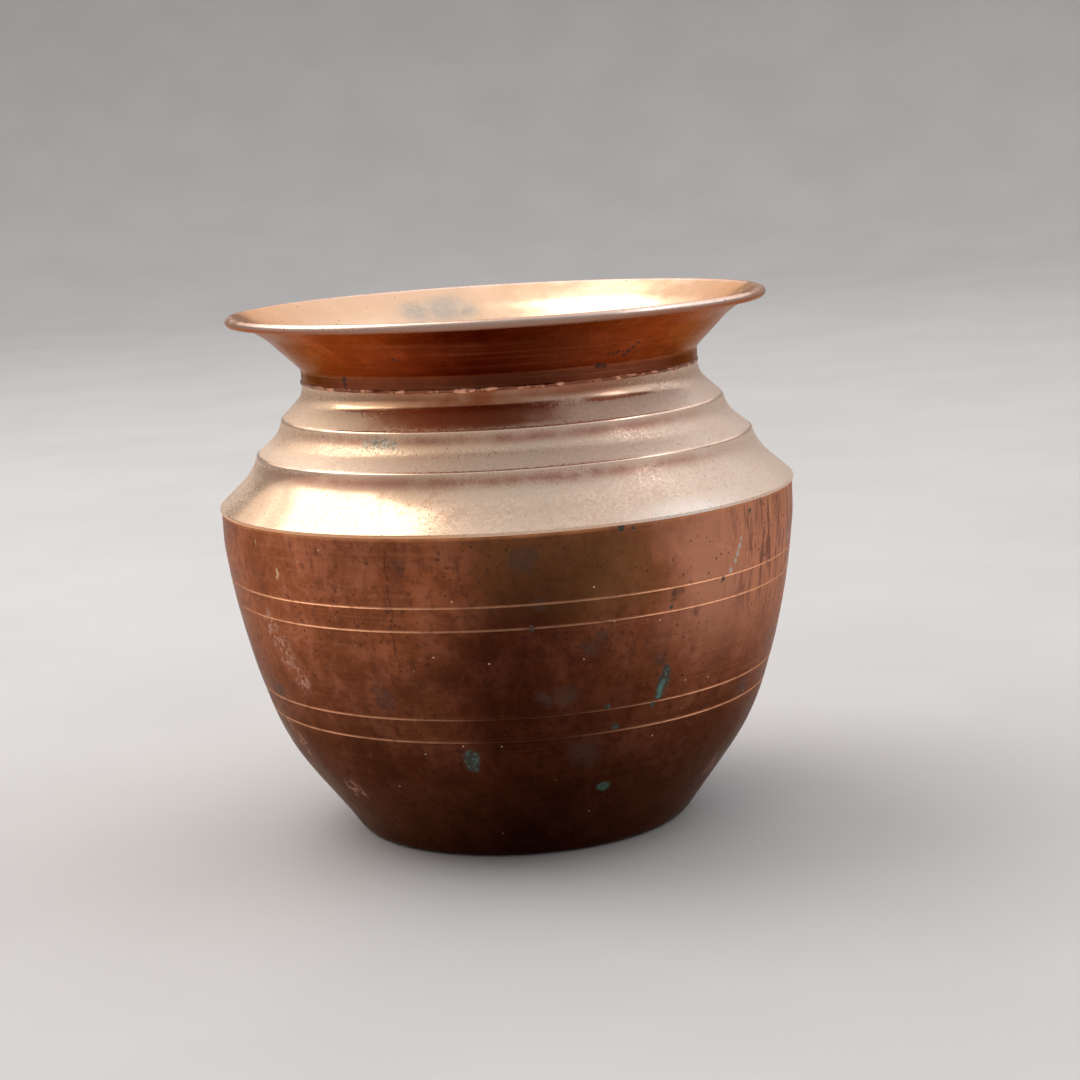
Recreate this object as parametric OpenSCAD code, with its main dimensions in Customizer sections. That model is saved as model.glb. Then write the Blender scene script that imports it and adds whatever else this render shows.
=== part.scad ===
// Kalash pot of thin spun copper sheet: a round-bellied bowl, a stepped
// shoulder and a flared mouth with a wired rim, lapped and brazed together.
// Millimetres, +Z up. The origin is the centre of the base, on the surface
// that the pot stands on.

/* [Sheet] */
// Thickness of the copper sheet
sheet = 0.6; // [0.5:0.05:0.8]
// Gap left at a lap joint for the braze to run into
braze_gap = 0.05; // [0.03:0.01:0.08]

/* [Lower bowl] */
// Diameter of the bowl at its lip, the widest point
bowl_d = 124.4; // [116:0.4:132]
// Height of the bowl's lip above the base
lip_h = 72.2; // [66:0.2:78]
// Diameter at which the side wall would meet the ground
base_d = 72.8; // [66:0.4:78]
// Radius of the bend between the base and the side wall
base_bend = 4; // [3:0.5:5]
// Diameter of the pushed-up middle of the base
recess_d = 54; // [44:1:58]
// Height of the pushed-up middle of the base
recess_h = 1.4; // [0.8:0.1:2]
// Height of the straight, cylindrical lip that the shoulder drops into
lip_straight = 5.6; // [5.2:0.2:7]

/* [Engraved lines] */
// Heights of the four turned lines round the belly
line_z = [58.2, 53.4, 34.6, 29.6]; // [14:0.2:64]
// Width of a turned line
line_w = 0.44; // [0.3:0.02:0.6]
// Depth of a turned line
line_depth = 0.14; // [0.08:0.02:0.2]

/* [Shoulder] */
// Diameter of the crisp edge at the bottom of the shoulder
girth_d = 125; // [124.8:0.2:126]
// Diameters of the two raised steps, lower then upper
step_d = [108, 96.4]; // [95:0.2:109]
// Heights of the two raised steps above the base, lower then upper
step_z = [83.4, 90.8]; // [83:0.2:91.2]
// Radii of the hollow coves above the girth, the lower step and the upper step
cove_r = [14, 8, 5]; // [5:0.5:14]
// Radius on the nose of each step
nose_r = 0.9; // [0.8:0.1:1.2]
// How far the shoulder's spigot reaches down inside the bowl
girth_lap = 4.6; // [3:0.2:4.8]

/* [Neck and mouth] */
// Outside diameter of the neck
neck_d = 86.2; // [85:0.2:88]
// Height of the joint between the shoulder's collar and the neck
neck_z = 98.5; // [98.2:0.1:99]
// How far the neck's spigot reaches down inside the collar
neck_lap = 4; // [3:0.2:4.5]
// Height at which the neck turns outward into the flare
flare_z = 101.3; // [100.8:0.1:101.8]
// Outward run of the flare for each millimetre of rise, below its bend
flare_rate = 0.99; // [0.9:0.01:1.05]
// Height of the bend where the flare opens wider
flare_bend_z = 108.6; // [108:0.1:109]
// Overall height of the pot, to the top of the rim
height = 113.3; // [113:0.1:114]
// Diameter of the mouth over the rim
mouth_d = 116.6; // [116:0.2:117.2]
// Diameter of the wire inside the rolled rim
wire_d = 0.8; // [0.7:0.05:0.9]
// How far round the wire the sheet is rolled
roll_angle = 288; // [240:4:288]

/* [Hidden] */
$fn = 96;

lip_r = bowl_d / 2;
base_r = base_d / 2;
curve_top = lip_h - lip_straight;
spigot_r = lip_r - sheet - braze_gap;   // outside of the shoulder's spigot
neck_r = neck_d / 2;
neck_spigot_r = neck_r - sheet - braze_gap;
wire_clear = 0.02;
roll_r = wire_d / 2 + wire_clear + sheet;   // outside of the rolled rim
rim_c = [mouth_d / 2 - roll_r, height - roll_r];
notch = 0.35;   // bevel on both edges that the neck's seam of braze fills

// Share of the height up the side wall, and share of the way out from the
// base radius to the lip radius at that height.
belly = [[0, 0], [0.05, 0.095], [0.1, 0.19], [0.15, 0.285], [0.2, 0.38],
         [0.25, 0.47], [0.3, 0.55], [0.35, 0.615], [0.4, 0.67], [0.45, 0.715],
         [0.5, 0.755], [0.55, 0.795], [0.6, 0.83], [0.7, 0.89], [0.8, 0.94],
         [0.9, 0.977], [1, 1]];

// ---- plane geometry -------------------------------------------------------
function unit(v) = v / norm(v);
function cross2(a, b) = a.x * b.y - a.y * b.x;
function xy(p) = [p.x, p.y];

// One corner of a path, b between a and c, replaced by an arc of radius r.
function arc_corner(a, b, c, r, step = 9) =
    let (u = unit(a - b), v = unit(c - b), ang = acos(u * v),
         reach = r / tan(ang / 2),
         mid = b + unit(u + v) * r / sin(ang / 2),
         p = b + u * reach - mid,
         turn = 180 - ang,
         way = cross2(b - a, c - b) > 0 ? 1 : -1,
         n = max(2, ceil(turn / step)),
         start = atan2(p.y, p.x))
    [for (i = [0:n]) mid + r * [cos(start + way * turn * i / n), sin(start + way * turn * i / n)]];

// A path of [x, y, corner radius] with its corners rounded.
function rounded(path) = [for (i = [0:len(path) - 1])
    each (i == 0 || i == len(path) - 1 || path[i][2] == 0)
        ? [xy(path[i])]
        : arc_corner(xy(path[i - 1]), xy(path[i]), xy(path[i + 1]), path[i][2])];

function left_of(a, b) = let (d = unit(b - a)) [-d.y, d.x];

// The same path moved to its left by t, with each corner's radius changed to
// keep the sheet one thickness round the bend.
function inset(path, t) = let (n = len(path)) [for (i = [0:n - 1])
    let (p = xy(path[i]),
         na = i > 0 ? left_of(xy(path[i - 1]), p) : left_of(p, xy(path[1])),
         nb = i < n - 1 ? left_of(p, xy(path[i + 1])) : na,
         m = unit(na + nb),
         way = (i == 0 || i == n - 1) ? 0 : cross2(p - xy(path[i - 1]), xy(path[i + 1]) - p),
         r = path[i][2])
    [p.x + m.x * t / (m * na), p.y + m.y * t / (m * na),
     r == 0 ? 0 : (way > 0 ? max(r - t, 0.2) : r + t)]];

function flip(list) = [for (i = [len(list) - 1:-1:0]) list[i]];
function tail(list) = [for (i = [1:1:len(list) - 1]) list[i]];
function lead(list) = [for (i = [0:1:len(list) - 2]) list[i]];

// ---- the bowl's curve -----------------------------------------------------
function belly_rate(i) =
    let (a = belly[max(i - 1, 0)], b = belly[min(i + 1, len(belly) - 1)])
    i == len(belly) - 1 ? 0 : (b.y - a.y) / (b.x - a.x);

function belly_span(u, i = 0) =
    (i >= len(belly) - 2 || u <= belly[i + 1].x) ? i : belly_span(u, i + 1);

function belly_at(u) =
    let (i = belly_span(u), a = belly[i], b = belly[i + 1],
         w = b.x - a.x, s = (u - a.x) / w)
    (2 * s * s * s - 3 * s * s + 1) * a.y + (s * s * s - 2 * s * s + s) * w * belly_rate(i)
    + (3 * s * s - 2 * s * s * s) * b.y + (s * s * s - s * s) * w * belly_rate(i + 1);

function bowl_r(z) = base_r + (lip_r - base_r) * belly_at(z / curve_top);

bowl_path = concat(
    [[0, recess_h, 0], [recess_d / 2, recess_h, 2.4], [recess_d / 2 + 3, 0, 2.4],
     [base_r, 0, base_bend]],
    [for (i = [3:44]) [bowl_r(curve_top * i / 44), curve_top * i / 44, 0]],
    [[lip_r, lip_h, 0]]);

module groove(z) {
    a = atan2(2, bowl_r(z + 1) - bowl_r(z - 1)) - 90;
    translate([bowl_r(z), z]) rotate(a)
        polygon([[0.1, -line_w / 2], [0.1, line_w / 2],
                 [0, line_w / 2], [-line_depth, 0.06], [-line_depth, -0.06], [0, -line_w / 2]]);
}

// ---- the shoulder's and the mouth's paths ---------------------------------
// Where a slope running in and up from one edge meets the riser under the
// next. out_rate and rise_rate are inward run for each millimetre of rise.
function cove_corner(edge, next, out_rate, rise_rate) =
    let (z = (edge.x + out_rate * edge.y - next.x - rise_rate * next.y) / (out_rate - rise_rate))
    [edge.x - out_rate * (z - edge.y), z];

girth_edge = [girth_d / 2, lip_h + sheet];
step_1 = [step_d[0] / 2, step_z[0]];
step_2 = [step_d[1] / 2, step_z[1]];
collar = [neck_r, neck_z];
cove_1 = cove_corner(girth_edge, step_1, 1.1, 0.28);
cove_2 = cove_corner(step_1, step_2, 1.2, 0.25);
cove_3 = cove_corner(step_2, collar, 1.05, 0);

tiers = [[girth_edge.x, girth_edge.y, 0],
         [cove_1.x, cove_1.y, cove_r[0]], [step_1.x, step_1.y, nose_r],
         [cove_2.x, cove_2.y, cove_r[1]], [step_2.x, step_2.y, nose_r],
         [cove_3.x, cove_3.y, cove_r[2]], [neck_r, neck_z, 0]];
tiers_in = inset(tiers, sheet);
// where the inside of the lowest tier meets the inside of the spigot
tier_rate = (tiers_in[1].x - tiers_in[0].x) / (tiers_in[1].y - tiers_in[0].y);
tier_foot = [spigot_r - sheet,
             tiers_in[0].y + (spigot_r - sheet - tiers_in[0].x) / tier_rate, 0];
shoulder_in = rounded(concat([tier_foot], tail(tiers_in)));

flare_bend = [neck_r + flare_rate * (flare_bend_z - flare_z), flare_bend_z];
// The flare's upper part is tangent to the roll round the wire, so its
// direction is the one that keeps its underside on the wire's side.
to_rim = rim_c - flare_bend;
rim_dir = atan2(to_rim.y, to_rim.x) + asin((roll_r - sheet) / norm(to_rim));
rim_d = [cos(rim_dir), sin(rim_dir)];
rim_n = [-sin(rim_dir), cos(rim_dir)];
flare_path = [[neck_r, neck_z, 0], [neck_r, flare_z, 1.5],
              [flare_bend.x, flare_bend.y, 14],
              [rim_c.x + rim_n.x * (roll_r - sheet), rim_c.y + rim_n.y * (roll_r - sheet), 0]];
// The inside starts above the joggle that steps the sheet in to the spigot.
flare_in = concat([[neck_r - sheet, neck_z + 0.4, 0]], tail(inset(flare_path, sheet)));

function roll_arc(r) = let (n = 32) [for (i = [1:n])
    let (a = rim_dir + 90 - roll_angle * i / n) rim_c + r * [cos(a), sin(a)]];

// ---- pieces ---------------------------------------------------------------
module lower_bowl() {
    color("#8a4a2c") rotate_extrude() difference() {
        polygon(concat(rounded(bowl_path), flip(rounded(inset(bowl_path, sheet)))));
        for (z = line_z) groove(z);
    }
}

// The lowest tier is folded back on itself into a shelf, which sits on the
// bowl's lip, and then down into a spigot, which drops inside it.
module shoulder_shell() {
    color("#c79a7c") rotate_extrude() polygon(concat(
        [[spigot_r, lip_h - girth_lap], [spigot_r, lip_h], [girth_edge.x, lip_h]],
        lead(rounded(tiers)),
        [[neck_r, neck_z - notch], [neck_r - notch * 0.8, neck_z]],
        flip(shoulder_in),
        [[spigot_r - sheet, lip_h - girth_lap]]
    ));
}

// The neck is joggled in by one thickness to make its spigot, and the lip of
// the flare is rolled over, out and back under round the wire.
module neck_flare() {
    color("#b5653b") rotate_extrude() polygon(concat(
        [[neck_spigot_r, neck_z - neck_lap], [neck_spigot_r, neck_z],
         [neck_r - notch * 0.8, neck_z], [neck_r, neck_z + notch]],
        tail(rounded(flare_path)),
        roll_arc(roll_r - sheet),
        flip(roll_arc(roll_r)),
        flip(rounded(flare_in)),
        [[neck_spigot_r - sheet, neck_z - 0.2], [neck_spigot_r - sheet, neck_z - neck_lap]]
    ));
}

module rim_wire() {
    color("#7d5a44") rotate_extrude() translate(rim_c) circle(r = wire_d / 2);
}

// Fillet left inside the bowl, under the end of the shoulder's spigot.
module girth_braze() {
    foot = lip_h - girth_lap;
    drop = min(0.9, lip_straight - girth_lap - 0.1);
    color("#d9a05c") rotate_extrude() polygon([
        [spigot_r - sheet * 0.8, foot], [spigot_r - 0.25, foot - drop / 3],
        [lip_r - sheet, foot - drop], [lip_r - sheet, foot]]);
}

// Braze at the neck: a seam outside, in the notch between the collar's edge
// and the neck and a little proud of both, and a fillet inside, drawn into the
// narrow space between the spigot and the collar.
module neck_braze() {
    inside = [for (p = shoulder_in) if (p.y > neck_z - 3.1 && p.y < neck_z - 0.4) p];
    color("#d9a05c") {
        rotate_extrude() polygon([
            [neck_r - notch * 0.8, neck_z], [neck_r, neck_z - notch],
            [neck_r + 0.16, neck_z - notch * 0.6], [neck_r + 0.22, neck_z],
            [neck_r + 0.16, neck_z + notch * 0.6], [neck_r, neck_z + notch]]);
        rotate_extrude() polygon(concat(
            [[neck_spigot_r, inside[len(inside) - 1].y], [neck_spigot_r, inside[0].y - 0.5],
             [neck_spigot_r + 0.15, inside[0].y - 0.15]],
            inside));
    }
}

lower_bowl();
shoulder_shell();
neck_flare();
rim_wire();
girth_braze();
neck_braze();
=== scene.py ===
import bpy, math
import numpy as np
from mathutils import Matrix, Vector


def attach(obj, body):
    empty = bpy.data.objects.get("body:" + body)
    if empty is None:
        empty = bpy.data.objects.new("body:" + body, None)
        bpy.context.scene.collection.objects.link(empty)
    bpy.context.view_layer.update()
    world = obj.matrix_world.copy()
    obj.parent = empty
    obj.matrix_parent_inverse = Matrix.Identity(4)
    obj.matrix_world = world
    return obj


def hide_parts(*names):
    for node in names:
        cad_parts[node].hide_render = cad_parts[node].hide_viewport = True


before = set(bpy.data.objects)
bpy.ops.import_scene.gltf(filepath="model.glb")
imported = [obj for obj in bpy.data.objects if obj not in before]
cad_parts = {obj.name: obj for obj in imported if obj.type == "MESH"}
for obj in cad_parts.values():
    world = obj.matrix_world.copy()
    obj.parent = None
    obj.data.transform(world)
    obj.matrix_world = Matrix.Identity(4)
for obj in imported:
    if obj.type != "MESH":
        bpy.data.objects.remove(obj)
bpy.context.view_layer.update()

scene = bpy.context.scene
MM = 0.001

# ---------------------------------------------------------------------------
# Camera, looking down at the pot from a little above its shoulder, held about
# three degrees off level.
# ---------------------------------------------------------------------------
yaw, pitch, roll = 0.0139, 0.1713, -0.0592
fwd = Vector((math.sin(yaw) * math.cos(pitch), math.cos(yaw) * math.cos(pitch), -math.sin(pitch)))
right = Vector((math.cos(yaw), -math.sin(yaw), 0.0))
up = right.cross(fwd)
cam_x = math.cos(roll) * right + math.sin(roll) * up
cam_y = -math.sin(roll) * right + math.cos(roll) * up
cam_data = bpy.data.cameras.new("camera")
cam_data.sensor_fit = "HORIZONTAL"
cam_data.sensor_width = 36.0
cam_data.lens = 75.0
cam_data.clip_start, cam_data.clip_end = 0.01, 50.0
camera = bpy.data.objects.new("camera", cam_data)
scene.collection.objects.link(camera)
m = Matrix((
    (cam_x.x, cam_y.x, -fwd.x, 0.0),
    (cam_x.y, cam_y.y, -fwd.y, -0.48666),
    (cam_x.z, cam_y.z, -fwd.z, 0.1444),
    (0.0, 0.0, 0.0, 1.0)))
camera.matrix_world = m
scene.camera = camera
scene.view_settings.view_transform = "Standard"
scene.view_settings.look = "None"

# ---------------------------------------------------------------------------
# The pot's section, in millimetres: the same paths as the CAD, cut finer.
# ---------------------------------------------------------------------------
sheet, braze_gap = 0.6, 0.05
lip_r, lip_h, base_r, base_bend = 62.2, 72.2, 36.4, 4.0
recess_d, recess_h, lip_straight = 54.0, 1.4, 5.6
line_z, line_w, line_depth = [58.2, 53.4, 34.6, 29.6], 0.44, 0.14
girth_r, girth_lap, nose_r = 62.5, 4.6, 0.9
step_1, step_2, cove_r = (54.0, 83.4), (48.2, 90.8), (14.0, 8.0, 5.0)
neck_r, neck_z, neck_lap, flare_z = 43.1, 98.5, 4.0, 101.3
flare_rate, flare_bend_z, height, mouth_r = 0.99, 108.6, 113.3, 58.3
wire_r, wire_clear, roll_angle, notch = 0.4, 0.02, 288.0, 0.35
curve_top = lip_h - lip_straight
spigot_r = lip_r - sheet - braze_gap
neck_spigot_r = neck_r - sheet - braze_gap
roll_r = wire_r + wire_clear + sheet
rim_c = np.array([mouth_r - roll_r, height - roll_r])
belly = [(0, 0), (0.05, 0.095), (0.1, 0.19), (0.15, 0.285), (0.2, 0.38), (0.25, 0.47), (0.3, 0.55), (0.35, 0.615),
         (0.4, 0.67), (0.45, 0.715), (0.5, 0.755), (0.55, 0.795), (0.6, 0.83), (0.7, 0.89), (0.8, 0.94), (0.9, 0.977),
         (1, 1)]


def unit(v):
    v = np.asarray(v, float)
    return v / np.linalg.norm(v)


def cross2(a, b):
    return a[0] * b[1] - a[1] * b[0]


def arc_corner(a, b, c, r, step=6.0):
    a, b, c = (np.asarray(p, float)[:2] for p in (a, b, c))
    u, v = unit(a - b), unit(c - b)
    ang = math.acos(max(-1.0, min(1.0, float(u @ v))))
    reach = r / math.tan(ang / 2)
    mid = b + unit(u + v) * r / math.sin(ang / 2)
    p = b + u * reach - mid
    turn = math.pi - ang
    way = 1 if cross2(b - a, c - b) > 0 else -1
    n = max(3, math.ceil(math.degrees(turn) / step))
    start = math.atan2(p[1], p[0])
    return [tuple(mid + r * np.array([math.cos(start + way * turn * i / n), math.sin(start + way * turn * i / n)]))
            for i in range(n + 1)]


def rounded(path, step=6.0):
    out = []
    for i, p in enumerate(path):
        if i in (0, len(path) - 1) or p[2] == 0:
            out.append((p[0], p[1]))
        else:
            out += arc_corner(path[i - 1], p, path[i + 1], p[2], step)
    return out


def inset(path, t):
    out, n = [], len(path)
    xy = [np.array(p[:2], float) for p in path]

    def left(a, b):
        d = unit(b - a)
        return np.array([-d[1], d[0]])
    for i, p in enumerate(xy):
        na = left(xy[i - 1], p) if i > 0 else left(p, xy[1])
        nb = left(p, xy[i + 1]) if i < n - 1 else na
        mm = unit(na + nb)
        way = 0 if i in (0, n - 1) else cross2(p - xy[i - 1], xy[i + 1] - p)
        r = path[i][2]
        q = p + mm * t / float(mm @ na)
        out.append((q[0], q[1], 0 if r == 0 else (max(r - t, 0.2) if way > 0 else r + t)))
    return out


def belly_rate(i):
    if i == len(belly) - 1:
        return 0.0
    a, b = belly[max(i - 1, 0)], belly[min(i + 1, len(belly) - 1)]
    return (b[1] - a[1]) / (b[0] - a[0])


def bowl_r(z):
    u = min(max(z / curve_top, 0.0), 1.0)
    i = 0
    while i < len(belly) - 2 and u > belly[i + 1][0]:
        i += 1
    a, b = belly[i], belly[i + 1]
    w = b[0] - a[0]
    s = (u - a[0]) / w
    f = ((2 * s ** 3 - 3 * s * s + 1) * a[1] + (s ** 3 - 2 * s * s + s) * w * belly_rate(i)
         + (3 * s * s - 2 * s ** 3) * b[1] + (s ** 3 - s * s) * w * belly_rate(i + 1))
    return base_r + (lip_r - base_r) * f


def cove_corner(edge, nxt, out_rate, rise_rate):
    z = (edge[0] + out_rate * edge[1] - nxt[0] - rise_rate * nxt[1]) / (out_rate - rise_rate)
    return (edge[0] - out_rate * (z - edge[1]), z)


def densify(path, longest):
    """The same line with points no further apart than longest."""
    out = [path[0]]
    for a, b in zip(path[:-1], path[1:]):
        d = math.hypot(b[0] - a[0], b[1] - a[1])
        n = max(1, math.ceil(d / longest))
        for k in range(1, n + 1):
            out.append((a[0] + (b[0] - a[0]) * k / n, a[1] + (b[1] - a[1]) * k / n))
    return out


def section_bowl():
    wall = [(bowl_r(z), z, 0) for z in np.linspace(curve_top * 3 / 44, curve_top, 44)]
    path = [(0, recess_h, 0), (recess_d / 2, recess_h, 2.4), (recess_d / 2 + 3, 0, 2.4), (base_r, 0, base_bend)]
    path += wall + [(lip_r, lip_h - 0.12, 0)]
    inner = rounded(inset(path[:-1] + [(lip_r, lip_h, 0)], sheet))
    # outside, finer and with the turned lines cut in as rounded V grooves
    low = rounded(path[:5])[:-1]
    zs = list(np.arange(wall[0][1], curve_top, 0.55)) + [curve_top]
    cuts = [(-0.34, 0.0), (-0.27, -0.018), (-0.21, 0.0), (-0.13, 0.07), (-0.05, 0.13), (0.05, 0.13), (0.13, 0.07),
            (0.21, 0.0), (0.27, -0.018), (0.34, 0.0)]
    zs = [z for z in zs if all(abs(z - q) > 0.5 for q in line_z)]
    pts = [(bowl_r(z), z) for z in zs]
    for q in line_z:
        for dz, dd in cuts:
            z = q + dz
            pts.append((bowl_r(z) - dd, z))
    pts.sort(key=lambda p: p[1])
    outer = densify(low, 2.5) + pts + [(lip_r, lip_h - 2.8), (lip_r, lip_h - 0.12), (lip_r - 0.1, lip_h)]
    return outer + list(reversed(densify(inner, 2.0)))


girth_edge = (girth_r, lip_h + sheet)
collar = (neck_r, neck_z)
cove_1 = cove_corner(girth_edge, step_1, 1.1, 0.28)
cove_2 = cove_corner(step_1, step_2, 1.2, 0.25)
cove_3 = cove_corner(step_2, collar, 1.05, 0)
tiers = [(*girth_edge, 0), (*cove_1, cove_r[0]), (*step_1, nose_r), (*cove_2, cove_r[1]), (*step_2, nose_r),
         (*cove_3, cove_r[2]), (neck_r, neck_z, 0)]
tiers_in = inset(tiers, sheet)
rate = (tiers_in[1][0] - tiers_in[0][0]) / (tiers_in[1][1] - tiers_in[0][1])
tier_foot = (spigot_r - sheet, tiers_in[0][1] + (spigot_r - sheet - tiers_in[0][0]) / rate, 0)
shoulder_in = rounded([tier_foot] + tiers_in[1:], 5.0)


def section_shoulder():
    outer = rounded([(girth_r, lip_h, 0), (girth_r, lip_h + sheet, 0.3)] + tiers[1:], 4.0)[:-1]
    # the noses of the steps are drawn a little tighter than the sheet's bend
    top = [(neck_r, neck_z - notch), (neck_r - notch * 0.8, neck_z), (neck_r - sheet, neck_z)]
    inner = list(reversed(shoulder_in))[1:]
    return ([(spigot_r, lip_h - girth_lap), (spigot_r, lip_h)] + densify(outer, 0.8) + top + densify(inner, 1.6)
            + [(spigot_r - sheet, lip_h - girth_lap)])


flare_bend = np.array([neck_r + flare_rate * (flare_bend_z - flare_z), flare_bend_z])
to_rim = rim_c - flare_bend
rim_dir = math.atan2(to_rim[1], to_rim[0]) + math.asin((roll_r - sheet) / np.linalg.norm(to_rim))
rim_n = np.array([-math.sin(rim_dir), math.cos(rim_dir)])
rim_end = rim_c + rim_n * (roll_r - sheet)
flare_path = [(neck_r, neck_z, 0), (neck_r, flare_z, 1.5), (*flare_bend, 14), (*rim_end, 0)]
flare_in = [(neck_r - sheet, neck_z + 0.4, 0)] + inset(flare_path, sheet)[1:]


def roll_arc(r, n=36):
    return [tuple(rim_c + r * np.array([math.cos(rim_dir + math.pi / 2 - math.radians(roll_angle) * i / n),
                                        math.sin(rim_dir + math.pi / 2 - math.radians(roll_angle) * i / n)]))
            for i in range(1, n + 1)]


def section_flare():
    return ([(neck_spigot_r, neck_z - neck_lap), (neck_spigot_r, neck_z), (neck_r - notch * 0.8, neck_z),
             (neck_r, neck_z + notch)] + densify(rounded(flare_path, 5.0)[1:], 0.9)
            + roll_arc(roll_r - sheet, 30) + list(reversed(roll_arc(roll_r)))
            + list(reversed(densify(rounded(flare_in, 5.0), 0.9)))
            + [(neck_spigot_r - sheet, neck_z - 0.2), (neck_spigot_r - sheet, neck_z - neck_lap)])


# ---------------------------------------------------------------------------
# How the pot differs from a true body of revolution. Angles run from the
# front, positive towards +X. Every piece takes the same field, so the joints
# stay closed, and it only ever moves a wall inward.
# ---------------------------------------------------------------------------
def bump(a, z, a0, z0, wa, wz):
    d = (a - a0 + 180) % 360 - 180
    return np.exp(-(d / wa) ** 2 - ((z - z0) / wz) ** 2)


DENTS = [  # angle, height, half widths (degrees, mm), depth in mm
    (-86, 86, 16, 9, 0.30), (-72, 78, 7, 6, 0.20), (-62, 47, 14, 10, 0.16), (74, 60, 12, 8, 0.14),
    (22, 40, 12, 9, 0.10), (-28, 76, 9, 5, 0.10), (128, 52, 14, 9, 0.30), (158, 80, 10, 6, 0.22),
    (-140, 58, 16, 11, 0.26), (176, 30, 14, 9, 0.25), (-118, 84, 9, 6, 0.18), (100, 108, 12, 5, 0.12),
    (-150, 107, 14, 5, 0.14), (46, 87, 7, 4, 0.08), (8, 60, 9, 6, 0.06), (-40, 30, 11, 7, 0.10),
    (52, 22, 9, 6, 0.10), (-8, 86.5, 6, 3, 0.05)]


def field(a, z):
    """Inward movement in mm at angle a (degrees) and height z (mm)."""
    t = np.radians(a)
    out = 0.19 * (1 - np.cos(t - 1.45)) + 0.05 * (1 - np.cos(3 * t + 1.9 + z * 0.012))
    out = out + 0.03 * (1 + np.sin(5 * t + z * 0.05)) + 0.015 * (1 + np.sin(9 * t - z * 0.11 + 1.3))
    for a0, z0, wa, wz, d in DENTS:
        out = out + d * bump(a, z, a0, z0, wa, wz)
    return out


def lathe(name, section, n, extra=None):
    """A closed section of (r, z) turned into n columns, moved by the field."""
    ang = np.linspace(0, 360, n, endpoint=False)
    t = np.radians(ang)
    rings, index, count = [], [], 0
    for j, (r, z) in enumerate(section):
        if r < 1e-6:
            rings.append(np.array([[0.0, 0.0, z]]))
            index.append(np.full(n, count))
            count += 1
            continue
        fade = min(1.0, r / 40.0) * min(1.0, z / 6.0 + 0.15)
        rr, zz = r - field(ang, z) * fade, np.full(n, float(z))
        if extra is not None:
            dr, dz = extra(j, ang, r, z)
            rr, zz = rr + dr, zz + dz
        rings.append(np.stack([rr * np.sin(t), -rr * np.cos(t), zz], axis=1))
        index.append(count + np.arange(n))
        count += n
    faces = []
    for j in range(len(section)):
        p, q = index[j], index[(j + 1) % len(section)]
        p2, q2 = np.roll(p, -1), np.roll(q, -1)
        if p[0] == p[1] and q[0] == q[1]:
            continue
        if p[0] == p[1]:
            faces += np.stack([p, q2, q], axis=1).tolist()
        elif q[0] == q[1]:
            faces += np.stack([p, p2, q], axis=1).tolist()
        else:
            faces += np.stack([p, p2, q2, q], axis=1).tolist()
    me = bpy.data.meshes.new(name)
    me.from_pydata((np.concatenate(rings) * MM).tolist(), [], faces)
    me.update()
    ob = bpy.data.objects.new(name, me)
    scene.collection.objects.link(ob)
    me.polygons.foreach_set("use_smooth", [True] * len(me.polygons))
    me.set_sharp_from_angle(angle=math.radians(38))
    return ob


bowl = lathe("lower_bowl_shell", section_bowl(), 360)
shoulder = lathe("shoulder_stepped_shell", section_shoulder(), 360)
flare = lathe("neck_flare_shell", section_flare(), 360)


# The wire, drawn a shade out of true inside its roll.
def ring_section(c, r, n):
    return [(c[0] + r * math.cos(2 * math.pi * i / n), c[1] + r * math.sin(2 * math.pi * i / n)) for i in range(n)]


wire = lathe("rim_wire_ring", ring_section(rim_c, wire_r, 14), 288)


# The brazed seams: lumpy, ragged edges.
def ragged(a, seed, *terms):
    t = np.radians(a)
    out = np.zeros_like(t)
    for k, amp in terms:
        out = out + amp * np.sin(k * t + seed * k * 1.7 + 0.3 * k * k)
    return out


def seam_move(j, a, r, z):
    low = ragged(a, 1.0, (7, 0.05), (13, 0.05), (29, 0.045), (47, 0.04), (83, 0.035), (131, 0.025))
    high = ragged(a, 2.3, (9, 0.04), (17, 0.05), (37, 0.04), (61, 0.03), (97, 0.02))
    swell = np.clip(ragged(a, 3.1, (5, 0.05), (11, 0.05), (23, 0.05), (41, 0.04), (71, 0.03)), -0.16, 0.16)
    # two places at the front where the braze spilled a little further down
    spill = 0.55 * bump(a, 0, -9.5, 0, 3.2, 1e9) + 0.22 * bump(a, 0, 17, 0, 1.8, 1e9) + 0.3 * bump(a, 0, 150, 0, 4, 1e9)
    s = (z - neck_z) / notch
    dz = np.where(s < -0.3, low * 1.2 - spill, np.where(s > 0.3, high, 0.0) + 0.0 * low)
    dr = np.zeros_like(low) if r <= neck_r + 0.001 else swell - 0.04
    return dr, dz


seam = lathe("neck_braze_seam", [
    (neck_r - notch * 0.8, neck_z), (neck_r - 0.02, neck_z - notch), (neck_r + 0.05, neck_z - notch * 0.95),
    (neck_r + 0.13, neck_z - notch * 0.7), (neck_r + 0.19, neck_z - notch * 0.35), (neck_r + 0.2, neck_z),
    (neck_r + 0.17, neck_z + notch * 0.4), (neck_r + 0.1, neck_z + notch * 0.75), (neck_r - 0.02, neck_z + notch)],
    900, seam_move)

inside = [p for p in shoulder_in if neck_z - 3.1 < p[1] < neck_z - 0.4]


def fillet_move(j, a, r, z):
    w = ragged(a, 0.7, (6, 0.10), (15, 0.08), (33, 0.06), (57, 0.05))
    free = j in (1, 2)
    return np.zeros_like(w), (w if free else np.zeros_like(w))


neck_fillet = lathe("neck_braze_fillet", [
    (neck_spigot_r, inside[-1][1]), (neck_spigot_r, inside[0][1] - 0.5), (neck_spigot_r + 0.15, inside[0][1] - 0.15)]
    + inside, 480, fillet_move)

foot = lip_h - girth_lap


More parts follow.
